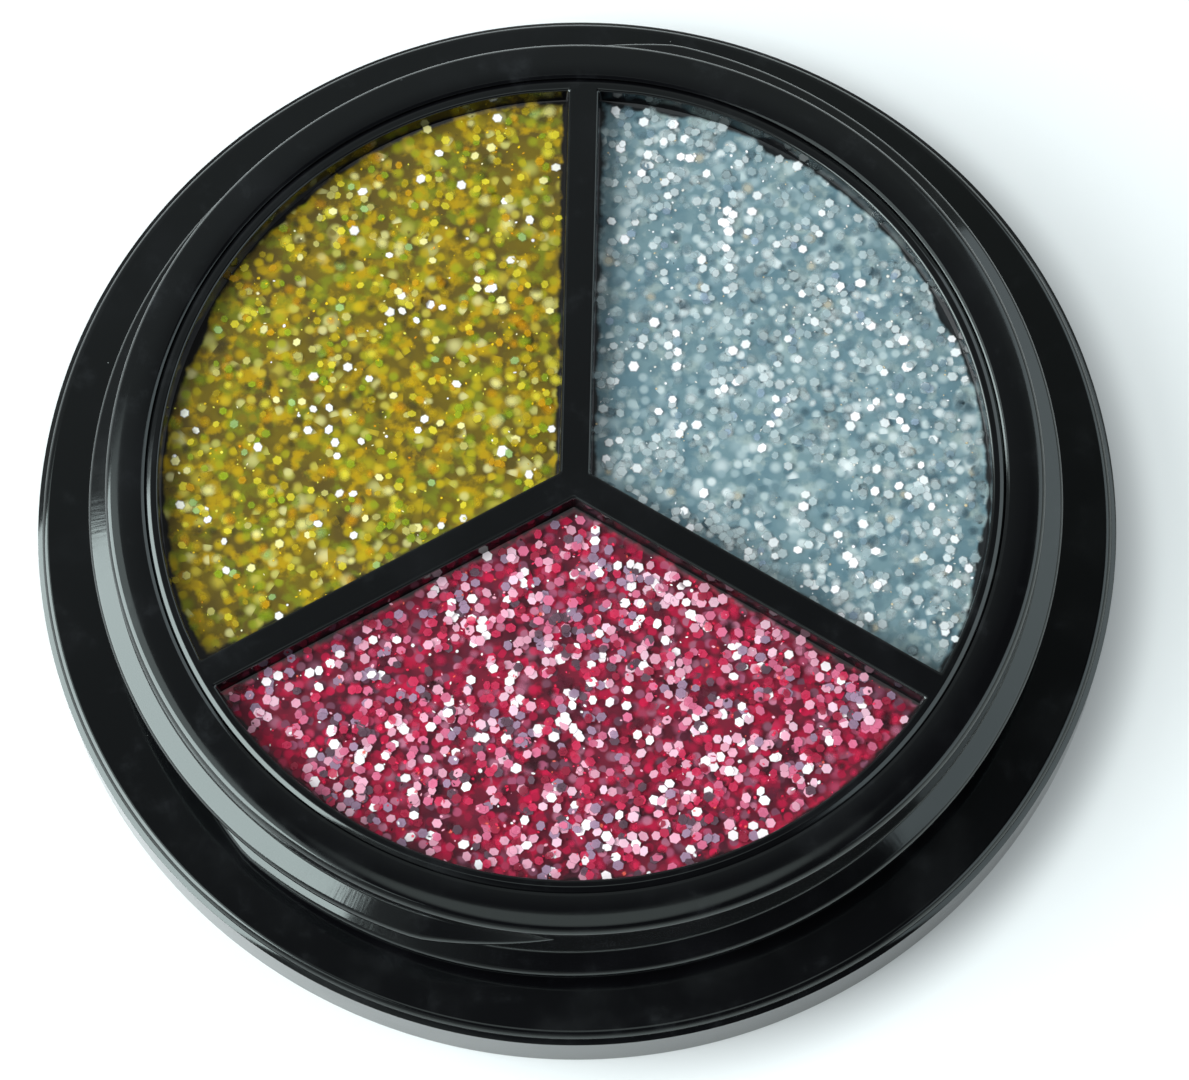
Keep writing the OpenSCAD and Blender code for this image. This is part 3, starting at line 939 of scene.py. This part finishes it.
class POT_OT_jar(bpy.types.Operator):
    """Models the threaded jar: flange, neck, rim and the two thread ridges"""

    bl_idname = "pot.jar"
    bl_label = "Threaded jar"

    def execute(self, context):
        sizes = context.scene.pot_sizes
        jar = jar_body(sizes)
        ridges = [thread_ridge(sizes, math.radians(start)) for start in RIDGE_STARTS]
        pick(*ridges, jar)
        bpy.ops.object.join()
        rubbed = (sizes.neck_radius + 0.1 * MM, sizes.neck_radius + sizes.thread_out)
        in_plastic(context, jar, "jar", "pot", "threaded_jar", rubbed)
        return {"FINISHED"}


class POT_OT_tray(bpy.types.Operator):
    """Models the divided tray with its three wells"""

    bl_idname = "pot.tray"
    bl_label = "Divided tray"

    def execute(self, context):
        tray = divided_tray(context.scene.pot_sizes)
        in_plastic(context, tray, "tray", "tray", "compartment_tray")
        return {"FINISHED"}


class POT_OT_gels(bpy.types.Operator):
    """Fills the three wells with their tinted gels"""

    bl_idname = "pot.gels"
    bl_label = "Gels"

    def execute(self, context):
        scene = context.scene
        for shade, middle in WELL_MIDDLES.items():
            gel = gel_filling(scene.pot_sizes, shade, middle)
            smooth(gel)
            deep = tuple(getattr(scene.pot_colours, shade + "_gel"))
            material = glitter_gel("Glitter gel, " + shade, deep, GELS[shade])
            dress(gel, material, "tray", shade + "_gel", shade + "_gel")
        return {"FINISHED"}


class POT_OT_glitter(bpy.types.Operator):
    """Strews the cut flakes through the top of each gel"""

    bl_idname = "pot.glitter"
    bl_label = "Glitter"

    def execute(self, context):
        for shade in GLITTERS:
            flakes = scattered_flakes(context.scene.pot_sizes, shade)
            film = metallised_film("Metallised PET film, " + shade)
            dress(flakes, film, "tray", shade + "_flake", shade + "_flakes")
        return {"FINISHED"}


class POT_OT_stage(bpy.types.Operator):
    """Sets the table, the soft studio light and the camera"""

    bl_idname = "pot.stage"
    bl_label = "Stage"

    def execute(self, context):
        scene = context.scene
        fresh_start()
        bpy.ops.mesh.primitive_plane_add(size=4)
        table = bpy.context.object
        table.name = table.data.name = "table_top"
        table.data.materials.append(white_table(tuple(scene.pot_colours.table)))
        studio_light(scene)
        overhead_camera(scene)
        scene.view_settings.view_transform = "Standard"
        return {"FINISHED"}


def soft_lamp(name, place, size, power, shade):
    """A soft rectangular lamp that faces the pot."""
    light = bpy.data.lights.new(name, "AREA")
    light.shape, light.size, light.size_y = "RECTANGLE", *size
    light.energy = power
    light.color = linear(shade)
    lamp = bpy.data.objects.new(name, light)
    lamp.location = place
    lamp.rotation_euler = (-Vector(place)).to_track_quat("-Z", "Y").to_euler()
    bpy.context.collection.objects.link(lamp)


def studio_light(scene):
    """A softbox on the left with its spill over it, a weak card on the right, and a room that is
    pale near the horizon, but not behind the pot, and dark overhead but for one pale patch."""
    soft_lamp("softbox_left", (-0.376, -0.066, 0.24), (0.42, 0.36), 4.3, "#f6fcff")
    soft_lamp("softbox_spill", (-0.204, -0.03, 0.40), (0.40, 0.12), 0.24, "#f6fcff")
    soft_lamp("card_right", (0.364, 0.067, 0.29), (0.69, 0.30), 1.07, "#eef6ff")
    world = bpy.data.worlds.new("Studio")
    scene.world = world
    world.use_nodes = True
    world.node_tree.nodes.clear()
    way = add_node(world, "TexCoord").outputs["Generated"]
    axes = add_node(world, "SeparateXYZ", [way])
    # The middle of the dark ceiling, and of the patch that lights the front of the rim's crown
    to_ceiling, to_patch = (
        add_node(world, "VectorMath", [way, middle], operation="DOT_PRODUCT")
        for middle in ((0.233, -0.280, 0.931), (0, -0.035, 0.999)))
    height = add_node(world, "MapRange", [axes.outputs["Z"], 0.06, 0.45])
    behind = add_node(world, "MapRange", [axes.outputs["Y"], 0.2, 0.75, 0.9, 0.22])
    above = add_node(world, "MapRange", [to_ceiling, 0.70, 0.87, 0.30, 0.03])
    level = add_node(world, "Mix", [height, behind, above], data_type="FLOAT")
    patch = add_node(world, "MapRange", [to_patch, 0.970, 0.990])
    strength = add_node(world, "Math", [level, patch], operation="MAXIMUM")
    room = add_node(world, "Background", [linear("#f2f7f8"), strength])
    white = add_node(world, "Background", [linear("#fbfdfc")])
    # Glossy and transmission rays see the white background near the horizon, and the dark ceiling
    camera_only = add_node(world, "LightPath").outputs["Is Camera Ray"]
    low = add_node(world, "MapRange", [axes.outputs["Z"], 0.12, 0.04])
    near = add_node(world, "Math", [background_rays(world), low])
    seen = add_node(world, "Math", [camera_only, near], operation="MAXIMUM")
    add_node(world, "OutputWorld", [add_node(world, "MixShader", [seen, room, white])])


def overhead_camera(scene):
    """A long lens nearly overhead, a little to the front and slightly rolled."""
    distance, aim = 185.46 * MM, Vector((0.634 * MM, -0.12 * MM, 0))
    tilt, roll, swing = (
        Matrix.Rotation(math.radians(degrees), 4, axis)
        for degrees, axis in ((18.2785, "X"), (-1.894, "Z"), (3, "Z")))
    data = bpy.data.cameras.new("camera")
    data.sensor_width, data.lens = 36, 149.4
    data.clip_start, data.clip_end = 0.01, 20
    camera = bpy.data.objects.new("camera", data)
    camera.location = swing @ (aim + tilt @ Vector((0, 0, distance)))
    camera.rotation_euler = (swing @ tilt @ roll).to_euler()
    bpy.context.collection.objects.link(camera)
    scene.camera = camera


# ---------------------------------------------------------------- panel and registration


class POT_PT_pieces(bpy.types.Panel):
    """Lists the pieces of the pot and its sizes"""

    bl_idname = "POT_PT_pieces"
    bl_label = "Glitter gel pot"
    bl_space_type = "VIEW_3D"
    bl_region_type = "UI"
    bl_category = "Pot"

    def draw(self, context):
        for operator in OPERATORS:
            self.layout.operator(operator.bl_idname)
        for group in (context.scene.pot_sizes, context.scene.pot_colours):
            column = self.layout.column()
            for key in group.bl_rna.properties.keys():
                if key not in ("rna_type", "name"):
                    column.prop(group, key)


OPERATORS = (POT_OT_shell, POT_OT_jar, POT_OT_tray, POT_OT_gels, POT_OT_glitter, POT_OT_stage)
CLASSES = (PotSizes, PotColours, *OPERATORS, POT_PT_pieces)


def register():
    for item in CLASSES:
        bpy.utils.register_class(item)
    bpy.types.Scene.pot_sizes = bpy.props.PointerProperty(type=PotSizes)
    bpy.types.Scene.pot_colours = bpy.props.PointerProperty(type=PotColours)


def unregister():
    del bpy.types.Scene.pot_colours
    del bpy.types.Scene.pot_sizes
    for item in reversed(CLASSES):
        bpy.utils.unregister_class(item)


def main():
    register()
    bpy.ops.pot.shell()
    bpy.ops.pot.jar()
    bpy.ops.pot.tray()
    bpy.ops.pot.gels()
    bpy.ops.pot.glitter()
    bpy.ops.pot.stage()


if __name__ == "__main__":
    main()
